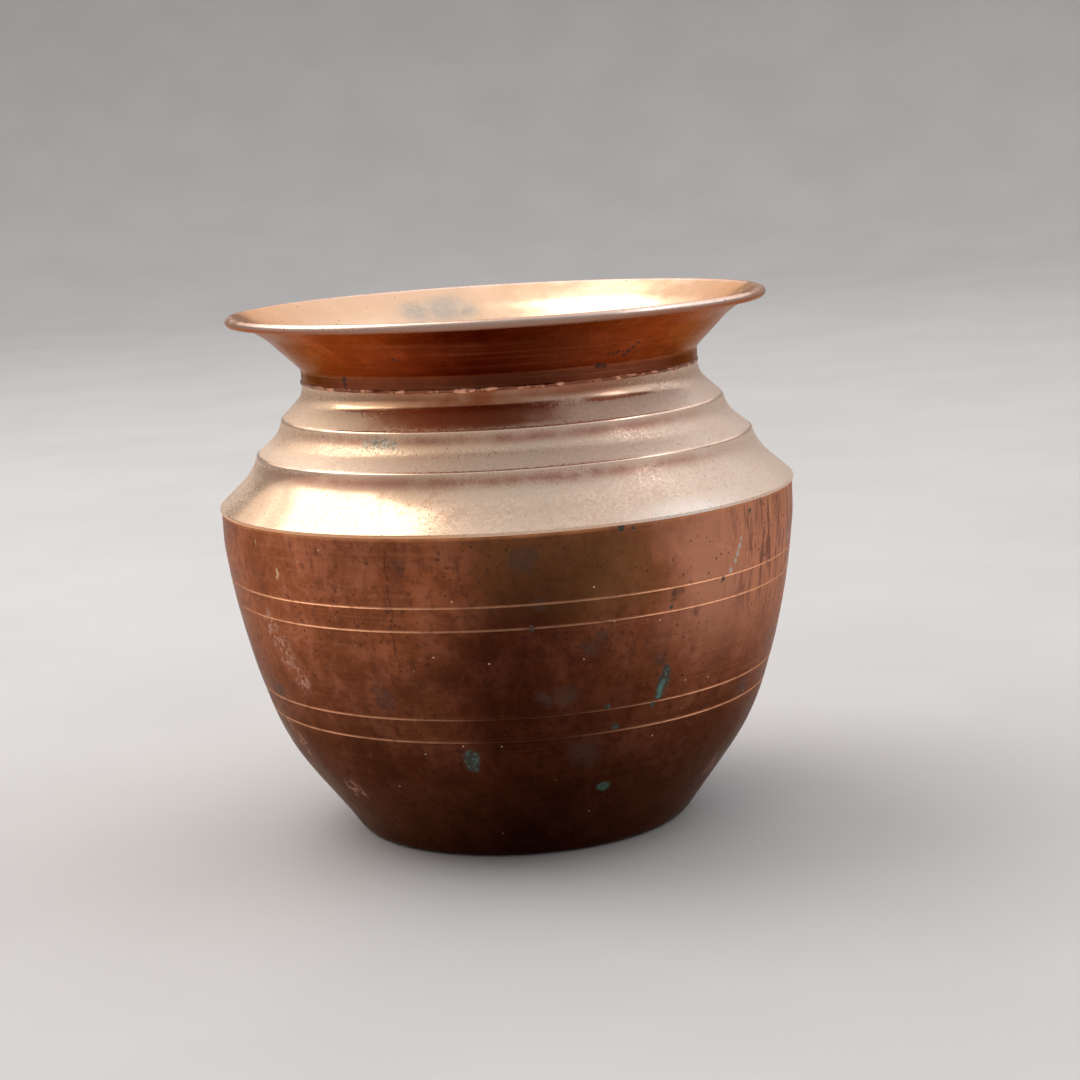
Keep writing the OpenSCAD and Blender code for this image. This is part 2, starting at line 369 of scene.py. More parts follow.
def girth_move(j, a, r, z):
    w = ragged(a, 1.9, (8, 0.10), (19, 0.08), (43, 0.06), (67, 0.04))
    return np.zeros_like(w), (w if z < foot - 0.05 else np.zeros_like(w))


girth_fillet = lathe("girth_braze_fillet", [
    (spigot_r - sheet * 0.8, foot), (spigot_r - 0.42, foot - 0.12), (spigot_r - 0.25, foot - 0.3),
    (spigot_r - 0.1, foot - 0.52), (lip_r - sheet, foot - 0.85), (lip_r - sheet, foot)], 540, girth_move)


# ---------------------------------------------------------------------------
# Materials. Object coordinates are the pot's own, so z is the height and the
# angle round the pot comes from x and y.
# ---------------------------------------------------------------------------
def on_wall(a, z, r):
    t = math.radians(a)
    return (r * math.sin(t), -r * math.cos(t), z)


class Nodes:
    """A Principled material whose patterns are laid out in the pot's own millimetres."""

    def __init__(self, name, ragged_edge=1.3, ragged_by=1.4):
        self.mat = bpy.data.materials.new(name)
        self.mat.use_nodes = True
        self.nt = self.mat.node_tree
        self.nt.nodes.clear()
        self.out = self.nt.nodes.new("ShaderNodeOutputMaterial")
        self.bsdf = self.nt.nodes.new("ShaderNodeBsdfPrincipled")
        self.nt.links.new(self.bsdf.outputs[0], self.out.inputs[0])
        coord = self.nt.nodes.new("ShaderNodeTexCoord")
        self.p = self.vmath("MULTIPLY", coord.outputs["Object"], (1000, 1000, 1000))
        sep = self.nt.nodes.new("ShaderNodeSeparateXYZ")
        self.link(self.p, sep.inputs[0])
        x, y, self.z = sep.outputs
        self.r = self.m("SQRT", self.add(self.mul(x, x), self.mul(y, y)))
        # angle from the front in degrees, positive towards +X
        self.a = self.m("MULTIPLY", self.m("ARCTAN2", x, self.m("MULTIPLY", y, -1.0)), 57.29578)
        # 1 on the outside of a wall or the underside and 0 on the inside, from which way the surface faces
        face = self.nt.nodes.new("ShaderNodeSeparateXYZ")
        self.link(coord.outputs["Normal"], face.inputs[0])
        away = self.m("DIVIDE", self.add(self.mul(x, face.outputs[0]), self.mul(y, face.outputs[1])), self.m("ADD", self.r, 0.001))
        self.outer = self.step(self.m("MULTIPLY_ADD", face.outputs[2], -0.5, away), -0.08, 0.08)
        self.tall = self.vmath("MULTIPLY", self.p, (1, 1, 0.22))         # runs down the wall
        self.turn = self.vmath("MULTIPLY", self.p, (0.016, 0.016, 1))    # lines turned round it
        wob = self.vmath("SUBTRACT", self.noise(ragged_edge, 3, 0.6, out=1), (0.5, 0.5, 0.5))
        self.ragged = self.vmath("MULTIPLY_ADD", wob, (ragged_by,) * 3, self.p)
        wob = self.vmath("SUBTRACT", self.noise(3.6, 4, 0.65, out=1), (0.5, 0.5, 0.5))
        self.smoky = self.vmath("MULTIPLY_ADD", wob, (6.5,) * 3, self.p)

    def link(self, a, b):
        self.nt.links.new(a, b)

    def put(self, socket, value):
        if isinstance(value, (int, float)):
            socket.default_value = value
        elif isinstance(value, (tuple, list)):
            socket.default_value = value if len(value) == len(socket.default_value) else (*value, 1.0)
        else:
            self.link(value, socket)

    def m(self, op, a, b=None, c=None):
        n = self.nt.nodes.new("ShaderNodeMath")
        n.operation = op
        for i, v in enumerate((a, b, c)):
            if v is not None:
                self.put(n.inputs[i], v)
        return n.outputs[0]

    def vmath(self, op, a, b, c=None):
        n = self.nt.nodes.new("ShaderNodeVectorMath")
        n.operation = op
        for i, v in enumerate((a, b, c)):
            if v is not None:
                self.put(n.inputs[i], v)
        return n.outputs["Value" if op == "DISTANCE" else "Vector"]

    def noise(self, size, detail=3.0, rough=0.55, vec=None, warp=0.0, out=0):
        """Noise with features about size mm across."""
        n = self.nt.nodes.new("ShaderNodeTexNoise")
        n.inputs["Scale"].default_value = 1.0 / size
        n.inputs["Detail"].default_value = detail
        n.inputs["Roughness"].default_value = rough
        n.inputs["Distortion"].default_value = warp
        self.link(vec or self.p, n.inputs["Vector"])
        return n.outputs[out]

    def cells(self, size, vec=None):
        n = self.nt.nodes.new("ShaderNodeTexVoronoi")
        n.inputs["Scale"].default_value = 1.0 / size
        self.link(vec or self.p, n.inputs["Vector"])
        return n.outputs["Distance"]

    def step(self, v, lo, hi, to_lo=0.0, to_hi=1.0, smooth=True):
        n = self.nt.nodes.new("ShaderNodeMapRange")
        n.interpolation_type = "SMOOTHSTEP" if smooth else "LINEAR"
        n.clamp = True
        self.put(n.inputs["Value"], v)
        for key, val in (("From Min", lo), ("From Max", hi), ("To Min", to_lo), ("To Max", to_hi)):
            n.inputs[key].default_value = val
        return n.outputs[0]

    def fold(self, op, v):
        out = v[0]
        for w in v[1:]:
            out = self.m(op, out, w)
        return out

    def mul(self, *v):
        return self.fold("MULTIPLY", v)

    def add(self, *v):
        return self.fold("ADD", v)

    def top(self, *v):
        return self.fold("MAXIMUM", v)

    def inv(self, v):
        return self.m("SUBTRACT", 1.0, v)

    def off(self, v, centre):
        """How far v is from centre, either way."""
        return self.m("ABSOLUTE", self.m("SUBTRACT", v, centre))

    def mix(self, fac, a, b, mode="MIX"):
        n = self.nt.nodes.new("ShaderNodeMix")
        n.data_type = "RGBA"
        n.blend_type = mode
        n.clamp_factor = True
        self.put(n.inputs[0], fac)
        self.put(n.inputs[6], a)
        self.put(n.inputs[7], b)
        return n.outputs[2]

    def band(self, v, lo, hi, soft):
        """1 between lo and hi, falling to 0 over soft on each side."""
        return self.step(self.off(v, (lo + hi) / 2), (hi - lo) / 2 + soft, (hi - lo) / 2 - soft)

    def spots(self, marks, soft=0.25, squeeze=1.0, radius=None, vec=None):
        """Ragged spots. Each mark is an angle, a height and a half width, in degrees and mm. A squeeze under 1 makes
        them taller than they are wide, and over 1 wider than tall."""
        vec = vec or self.ragged
        vec = vec if squeeze == 1.0 else self.vmath("MULTIPLY", vec, (1, 1, squeeze))
        near = None
        for a, z, size in marks:
            c = on_wall(a, z, radius(z) if callable(radius) else radius or bowl_r(z))
            d = self.vmath("DISTANCE", vec, (c[0], c[1], c[2] * squeeze))
            d = self.m("DIVIDE", d, size)
            near = d if near is None else self.m("MINIMUM", near, d)
        return self.step(near, 1.0 + soft, 1.0 - soft)

    def finish(self, colour, metal, rough, height, distance=0.001, edge=(1.0, 1.0, 1.0)):
        self.bsdf.inputs["Specular Tint"].default_value = (*edge, 1.0)
        self.put(self.bsdf.inputs["Base Color"], colour)
        self.put(self.bsdf.inputs["Metallic"], metal)
        self.put(self.bsdf.inputs["Roughness"], rough)
        n = self.nt.nodes.new("ShaderNodeBump")
        n.inputs["Strength"].default_value = 1.0
        n.inputs["Distance"].default_value = distance
        self.link(height, n.inputs["Height"])
        self.link(n.outputs[0], self.bsdf.inputs["Normal"])
        return self.mat


# ---- the bowl ---------------------------------------------------------------
def copper_bowl():
    n = Nodes("tarnished_copper_bowl")
    big, mid = n.noise(27, 3, 0.5), n.noise(7.5, 4, 0.6)
    fine = n.noise(1.5, 4, 0.68)
    col = n.mix(n.step(big, 0.38, 0.62), (0.42, 0.126, 0.051), (0.32, 0.094, 0.037))
    col = n.mix(n.mul(n.step(mid, 0.44, 0.64), 0.6), col, (0.56, 0.195, 0.105))
    col = n.mix(n.mul(n.step(mid, 0.47, 0.32), 0.6), col, (0.23, 0.074, 0.036))
    run = n.noise(2.4, 3, 0.62, n.tall)
    col = n.mix(n.mul(n.step(run, 0.50, 0.70), 0.5), col, (0.25, 0.080, 0.042))
    turned = n.noise(0.8, 2, 0.6, n.turn)
    col = n.mix(n.mul(n.step(turned, 0.46, 0.76), 0.25), col, (0.60, 0.24, 0.13))
    col = n.mix(n.mul(n.step(fine, 0.50, 0.66), 0.6), col, (0.19, 0.064, 0.038))
    col = n.mix(n.mul(n.step(fine, 0.42, 0.28), 0.45), col, (0.64, 0.25, 0.14))
    # olive, smoky film above the upper lines at the front
    drift = n.m("MULTIPLY_ADD", n.m("SUBTRACT", big, 0.5), 46.0, n.a)
    olive = n.mul(n.band(drift, -12, 27, 11), n.band(n.z, 55, 72, 4.0))
    col = n.mix(n.mul(olive, 0.6), col, (0.29, 0.145, 0.052))
    # paler and pinker high on the right, a painted reflection of the brighter room on that side, with the same paler
    # tone again at the back; streaked with purple-brown and orange
    pale = n.mul(n.top(n.band(drift, 34, 88, 10), n.band(drift, -138, -104, 12)), n.step(n.z, 34, 56))
    col = n.mix(n.mul(pale, 0.6), col, (0.72, 0.33, 0.21))
    side = n.mul(n.top(n.band(n.a, 48, 92, 9), n.band(n.a, -146, -112, 8)), n.step(n.z, 40, 58))
    runs = n.noise(1.9, 4, 0.66, n.vmath("MULTIPLY", n.p, (1, 1, 0.17)))
    col = n.mix(n.mul(side, n.step(runs, 0.47, 0.62), 0.75), col, (0.17, 0.072, 0.060))
    col = n.mix(n.mul(side, n.step(runs, 0.44, 0.33), 0.6), col, (0.74, 0.33, 0.17))
    # painted shade: deep maroon over the middle of the front and darker all round the foot, where the copper would
    # reflect dark surroundings; a darker patch of tarnish at the back
    front_shade = n.mul(n.step(n.off(drift, 1.0), 44, 3), n.step(n.z, 80, 54, 0.60, 1.0), 0.94)
    back = n.mul(n.step(n.off(drift, -98.0), 40, 8), n.step(n.z, 66, 34), 0.6)
    wall = n.step(n.r, 20, 36)   # nothing laid out by angle reaches the middle of the base
    front_shade, back = n.mul(front_shade, wall), n.mul(back, wall)
    foot_shade = n.mul(n.step(n.z, 60, 14), 0.84)
    shade_and_tarnish = n.inv(n.mul(n.inv(n.top(front_shade, back)), n.inv(foot_shade)))
    col = n.mix(shade_and_tarnish, col, (0.135, 0.100, 0.098), "MULTIPLY")
    # smudges
    smudge = n.spots([(2.1, 67.2, 2.6), (4.8, 57.7, 1.2), (14.1, 48.4, 1.7), (16.7, 51.2, 1.3), (9.1, 38.9, 2.1),
                      (5.1, 38.3, 1.6), (31.8, 57.2, 1.3), (-27.9, 38.8, 2.1), (57.7, 31.0, 1.8), (13.6, 25.5, 3.0),
                      (-63, 36, 2.6), (37, 52.5, 1.3), (29.5, 43.5, 1.6), (-20.5, 66.5, 1.6), (-118, 52, 5.0),
                      (132, 40, 5.0), (170, 58, 3.6), (-160, 24, 4.2), (98, 22, 2.4), (-95, 66, 1.8)], soft=0.6,
                     vec=n.smoky)
    smudge = n.mul(smudge, n.step(fine, 0.25, 0.55, 0.35, 1.0))
    col = n.mix(n.mul(smudge, 0.6), col, (0.070, 0.038, 0.030))
    # pits, specks and pale dots
    thin = n.noise(10, 2, 0.5)
    pits = n.mul(n.step(n.cells(1.7), 0.21, 0.07), n.step(thin, 0.36, 0.56))
    col = n.mix(n.mul(pits, 0.85), col, (0.055, 0.026, 0.020))
    dots = n.step(n.cells(4.7), 0.05, 0.025)
    col = n.mix(n.mul(dots, 0.8), col, (0.85, 0.62, 0.42))
    # a hairline crack in the tarnish, wandering down the left of the front
    wander = n.m("MULTIPLY_ADD", n.noise(9.0, 3, 0.6, n.turn), 6.0, -3.0)
    crack = n.mul(n.step(n.off(n.add(n.a, wander), -23.3), 0.30, 0.08), n.band(n.z, 45, 70.5, 1.5), n.step(fine, 0.36, 0.52))
    col = n.mix(n.mul(crack, 0.7), col, (0.095, 0.034, 0.020))
    # pale scuffs low on the left and right
    zone = n.spots([(-56.5, 51, 3.2), (-53.5, 46, 3.0), (-50, 41, 2.6), (-62, 23.5, 2.6), (-48, 15, 2.4), (-64, 28, 1.8),
                    (142, 28, 4.0), (-128, 70, 2.5), (60, 14, 2.5)], soft=0.6, squeeze=0.75)
    scuff = n.mul(zone, n.step(n.noise(1.5, 3, 0.66), 0.48, 0.60))
    col = n.mix(n.mul(scuff, 0.7), col, (0.70, 0.40, 0.30))
    flakes = n.spots([(-49.6, 63.8, 0.62), (-49.9, 62.6, 0.5), (-56.6, 69.3, 0.4), (-56.4, 68.6, 0.36), (-37, 66.1, 0.28)],
                     squeeze=0.7)
    col = n.mix(n.mul(flakes, 0.85), col, (0.72, 0.48, 0.27))
    # the turned lines are rubbed bright, and dimmed low and in the middle of the front under the painted shade there
    lines = n.fold("MINIMUM", [n.off(n.z, z0) for z0 in line_z])
    lines_in_shade = n.mul(front_shade, n.step(n.z, 60, 36, 0.30, 1.0))
    worn = n.mul(n.step(n.noise(3.3, 3, 0.6), 0.28, 0.50, 0.45, 1.0), n.step(n.off(n.a, 6.0), 8, 42, 0.6, 1.0))
    bright = n.mul(n.step(lines, 0.31, 0.14), worn, n.inv(lines_in_shade))
    col = n.mix(n.mul(bright, 0.85), col, (0.93, 0.47, 0.27))
    lip = n.mul(n.step(n.z, 71.2, 72.1), n.step(mid, 0.3, 0.6, 0.4, 1.0))
    col = n.mix(n.mul(lip, 0.65), col, (0.72, 0.30, 0.13))
    # verdigris: a streak, an oval spot and a few small ones
    dark = n.spots([(30.9, 41.2, 0.9), (30.8, 40.2, 1.15), (30.5, 39.1, 1.3), (30.2, 38.0, 1.35), (30.0, 36.9, 1.2),
                    (29.8, 35.8, 0.95), (-11.0, 26.4, 1.55), (-11.0, 25.2, 1.65), (-11.0, 24.0, 1.4), (18.0, 35.0, 0.65), (20.1, 30.4, 0.8), (28.5, 33.9, 0.6), (30.9, 54.2, 0.5),
                    (52.0, 70.2, 0.6), (20.6, 71.4, 0.75), (23.0, 71.5, 0.5), (3.0, 53.2, 0.6), (44.0, 57.6, 0.5),
                    (152, 34.5, 1.3), (151, 32, 1.1), (-128, 40, 1.2), (-170, 62, 0.9)], soft=0.35)
    col = n.mix(n.mul(dark, 0.88), col, (0.030, 0.036, 0.028))
    green = n.spots([(30.5, 38.8, 0.6), (30.2, 38.0, 0.75), (30.0, 37.2, 0.8), (29.85, 36.4, 0.75), (29.75, 35.5, 0.6),
                     (51.9, 70.0, 0.35), (19.3, 16.6, 1.3), (151.5, 33.5, 0.8), (-128, 39.5, 0.7)], soft=0.4)
    crust = n.mul(dark, n.step(n.noise(0.75, 4, 0.7), 0.50, 0.62), 0.7)
    col = n.mix(n.mul(n.top(n.mul(green, n.step(fine, 0.3, 0.5, 0.35, 0.9)), crust), 0.9), col, (0.105, 0.235, 0.195))
    # whitish mineral marks on the right
    chalk = n.spots([(49.0, 65.0, 0.45), (48.5, 63.6, 0.65), (47.9, 62.2, 0.6), (47.2, 60.9, 0.45), (46.0, 58.9, 0.55),
                     (77.5, 56.5, 1.0), (78.0, 53.5, 1.3), (74.0, 61.0, 0.8), (-145, 55, 0.9)], soft=0.4, squeeze=0.8)
    col = n.mix(n.mul(chalk, 0.72), col, (0.56, 0.53, 0.45))
    # inside: a duller brown copper, with a water line and a stained floor
    inc = n.mix(n.step(big, 0.38, 0.62), (0.55, 0.27, 0.155), (0.46, 0.215, 0.118))
    inc = n.mix(n.mul(n.step(mid, 0.44, 0.66), 0.5), inc, (0.62, 0.33, 0.20))
    inc = n.mix(n.mul(n.step(turned, 0.46, 0.76), 0.3), inc, (0.70, 0.39, 0.24))
    inc = n.mix(n.mul(n.step(fine, 0.50, 0.72), 0.45), inc, (0.26, 0.125, 0.075))
    level = n.m("MULTIPLY_ADD", mid, 9.0, n.z)
    inc = n.mix(n.mul(n.band(level, 46.0, 47.6, 0.9), 0.45), inc, (0.17, 0.10, 0.070))
    inc = n.mix(n.mul(n.step(level, 34, 12), 0.6), inc, (0.20, 0.115, 0.078))
    col = n.mix(n.outer, inc, col)
    oxide = n.mul(n.top(dark, n.mul(chalk, 0.8), n.mul(smudge, 0.35)), n.outer)
    rough = n.add(n.step(mid, 0.3, 0.75, 0.28, 0.38), n.mul(n.step(fine, 0.4, 0.8), 0.08), n.mul(oxide, 0.3),
                  n.mul(scuff, 0.10), n.mul(pale, 0.06))
    height = n.add(n.m("MULTIPLY", turned, 0.007), n.m("MULTIPLY", n.noise(0.3, 1, 0.5, n.turn), 0.003),
                   n.m("MULTIPLY", fine, 0.014), n.m("MULTIPLY", n.noise(12, 1, 0.5), 0.22),
                   n.m("MULTIPLY", pits, -0.03))
    return n.finish(col, n.step(oxide, 0.0, 1.0, 1.0, 0.2, smooth=False), rough, height, edge=(0.76, 0.62, 0.56))


# ---- the shoulder -----------------------------------------------------------
def copper_shoulder():
    n = Nodes("satin_copper_shoulder")
    big, mid = n.noise(24, 3, 0.5), n.noise(6.3, 3, 0.6)
    fine, grain = n.noise(0.62, 3, 0.7), n.noise(0.22, 1, 0.6)
    col = n.mix(n.step(big, 0.35, 0.65), (0.76, 0.53, 0.385), (0.68, 0.49, 0.345))
    col = n.mix(n.mul(n.step(mid, 0.45, 0.7), 0.45), col, (0.80, 0.53, 0.385))
    col = n.mix(n.mul(n.step(fine, 0.5, 0.72), 0.30), col, (0.54, 0.36, 0.25))
    # warmer and lighter on the left, painted light from the main soft box on that side, where the metal is also cleaner
    left_lit_warmth = n.mul(n.step(n.off(n.a, -42.0), 48, 22), n.step(n.z, 84, 87, 0.35, 1.0))
    col = n.mix(n.mul(left_lit_warmth, 0.7), col, (0.90, 0.585, 0.345))
    turned = n.noise(0.6, 2, 0.6, n.turn)
    col = n.mix(n.mul(n.step(turned, 0.5, 0.8), 0.25), col, (0.84, 0.62, 0.48))
    # reddish tarnish in the coves just under each raised edge, deepened towards the front as painted shade
    cove_tarnish_and_shade = n.top(n.band(n.z, 80.6, 82.9, 1.2), n.band(n.z, 88.2, 90.3, 1.0))
    cove_tarnish_and_shade = n.mul(cove_tarnish_and_shade, n.step(mid, 0.28, 0.6, 0.6, 1.0), n.step(n.off(n.a, -2.0), 72, 34, 0.2, 1.0))
    col = n.mix(n.mul(cove_tarnish_and_shade, 0.9), col, (0.40, 0.175, 0.128))
    # under the neck, over the front: painted shade and a painted dark red reflection of the flare's underside, darkest
    # next to the neck
    wavy = n.m("MULTIPLY_ADD", mid, 14.0, n.a)
    centre = n.mul(n.step(wavy, 32, 2), n.step(wavy, -46, 0))
    under_neck_shade = n.top(n.step(n.z, 94.8, 96.8, 0.0, 0.85), n.mul(n.step(n.z, 90.9, 92.4), centre))
    under_neck_shade = n.mul(under_neck_shade, n.step(mid, 0.25, 0.55, 0.75, 1.0), n.step(n.off(n.a, 0.0), 60, 20, 0.2, 1.0))
    col = n.mix(n.mul(under_neck_shade, 0.95), col, n.mix(n.step(n.z, 94.0, 96.0), (0.53, 0.185, 0.084), (0.31, 0.074, 0.024)))
    # rubbed, brighter noses and the crisp girth edge
    nose = n.top(n.band(n.z, 83.2, 83.7, 0.25), n.band(n.z, 90.6, 91.1, 0.25))
    nose = n.mul(nose, n.step(mid, 0.25, 0.55, 0.5, 1.0))
    col = n.mix(n.mul(nose, 0.7), col, (0.95, 0.72, 0.58))
    edge = n.mul(n.step(n.z, 72.86, 72.66), n.step(mid, 0.2, 0.5, 0.6, 1.0))
    col = n.mix(n.mul(edge, 0.85), col, (0.88, 0.40, 0.18))
    thin = n.noise(9, 2, 0.5)
    specks = n.mul(n.step(n.cells(1.7), 0.15, 0.06), n.step(thin, 0.40, 0.58))
    col = n.mix(n.mul(specks, 0.72), col, (0.15, 0.10, 0.075))
    dots = n.step(n.cells(3.6), 0.05, 0.025)
    col = n.mix(n.mul(dots, 0.6), col, (0.92, 0.84, 0.74))
    # grey-green oxide
    patch = n.spots([(-34.0, 89.6, 1.5), (-31.5, 89.3, 1.7), (-29.0, 89.1, 1.6), (-26.6, 88.8, 1.2), (118, 86, 2.4),
                     (122, 85, 1.8), (-132, 79, 3.0), (163, 94, 1.8)], soft=0.55, squeeze=1.1, radius=49.5)
    patch = n.mul(patch, n.step(n.noise(0.8, 4, 0.7), 0.36, 0.56, 0.3, 1.0))
    green = n.spots([(-9.2, 84.2, 0.5), (7.5, 84.8, 0.42), (9.0, 84.3, 0.35), (31, 84.2, 0.4), (-11.5, 79.2, 0.4), (-10.8, 77.8, 0.35),
                     (-10.2, 76.6, 0.35), (140, 84.3, 0.6)], radius=54.5)
    stain = n.mul(n.band(n.a, -31, -7, 8), n.band(n.z, 73.5, 80.5, 2.0), n.step(n.noise(2.1, 4, 0.72), 0.50, 0.64))
    col = n.mix(n.mul(stain, 0.6), col, (0.47, 0.25, 0.16))
    scratch = n.mul(n.step(n.noise(0.8, 2, 0.5, n.tall, 1.6), 0.70, 0.76), n.step(thin, 0.46, 0.6))
    col = n.mix(n.mul(scratch, 0.5), col, (0.34, 0.22, 0.155))
    # the sheen is broken up: a fine, sandy, matt patina with clean metal showing through it
    clean = n.mul(n.step(n.off(n.a, -44.0), 42, 18), n.step(n.z, 84, 82, 0.2, 1.0))
    ledge = n.top(n.band(n.z, 84.2, 85.8, 1.0), n.mul(n.band(n.z, 91.5, 93.9, 1.1), n.inv(centre)))
    glint = n.mul(n.band(n.z, 94.5, 95.8, 0.4), n.top(n.band(n.a, 24, 44, 5), n.band(n.a, -50, -22, 6)))
    cover = n.add(n.m("MULTIPLY", big, 0.25), n.mul(clean, -0.15), n.mul(n.top(under_neck_shade, glint), -0.30), n.mul(nose, -0.3),
                  n.mul(ledge, 0.17), n.mul(n.step(n.a, 4, 34), n.step(n.z, 92.0, 90.8), 0.07), n.mul(cove_tarnish_and_shade, -0.05))
    sand = n.step(n.add(n.m("MULTIPLY", grain, 0.5), n.m("MULTIPLY", fine, 0.5), cover), 0.46, 0.68)
    # the sand's colour, warmer on the left with the same painted light
    pale = n.mix(left_lit_warmth, (0.87, 0.71, 0.595), (0.91, 0.67, 0.48))
    pale = n.mix(n.mul(n.step(fine, 0.46, 0.60), 0.6), pale, (0.60, 0.455, 0.35))
    pale = n.mix(n.mul(n.step(grain, 0.48, 0.66), 0.45), pale, (0.60, 0.46, 0.36))
    pale = n.mix(n.mul(n.step(mid, 0.46, 0.66), 0.35), pale, (0.76, 0.57, 0.44))
    col = n.mix(n.mul(sand, n.inv(n.mul(n.top(cove_tarnish_and_shade, under_neck_shade), 0.9)), 0.75), col, pale)
    # a painted pinkish-white glint along the lower edge of the first step, on the right
    col = n.mix(n.mul(n.band(n.a, 26, 46, 9), n.step(n.z, 76.0, 73.2), n.step(fine, 0.34, 0.56), 0.7), col, (0.97, 0.90, 0.86))
    col = n.mix(n.mul(specks, 0.55), col, (0.30, 0.235, 0.165))
    col = n.mix(n.mul(dots, 0.7), col, (0.99, 0.93, 0.85))
    col = n.mix(n.mul(patch, 0.85), col, n.mix(n.step(fine, 0.42, 0.58), (0.56, 0.60, 0.52), (0.15, 0.18, 0.14)))
    col = n.mix(n.mul(green, 0.75), col, (0.10, 0.20, 0.14))
    rough = n.add(n.step(mid, 0.3, 0.75, 0.15, 0.21), n.mul(sand, 0.27), n.mul(patch, 0.2),
                  n.mul(under_neck_shade, n.step(n.z, 95.2, 93.8), 0.26))
    height = n.add(n.m("MULTIPLY", turned, 0.005), n.m("MULTIPLY", n.noise(0.27, 1, 0.5, n.turn), 0.0025),
                   n.m("MULTIPLY", fine, 0.0025), n.m("MULTIPLY", n.noise(9, 1, 0.5), 0.07),
                   n.m("MULTIPLY", specks, -0.025))
    matt = n.top(n.mul(n.m("MULTIPLY_ADD", sand, 0.48, 0.14), n.inv(under_neck_shade)), n.mul(n.top(patch, green), 0.75))
    matt = n.mul(matt, n.outer)
    # inside: brown copper that was never rubbed
    inc = n.mix(n.step(big, 0.35, 0.65), (0.54, 0.29, 0.18), (0.44, 0.225, 0.135))
    inc = n.mix(n.mul(n.step(fine, 0.5, 0.72), 0.4), inc, (0.27, 0.14, 0.085))
    col = n.mix(n.outer, inc, col)
    return n.finish(col, n.inv(matt), rough, height, edge=(0.96, 0.84, 0.76))


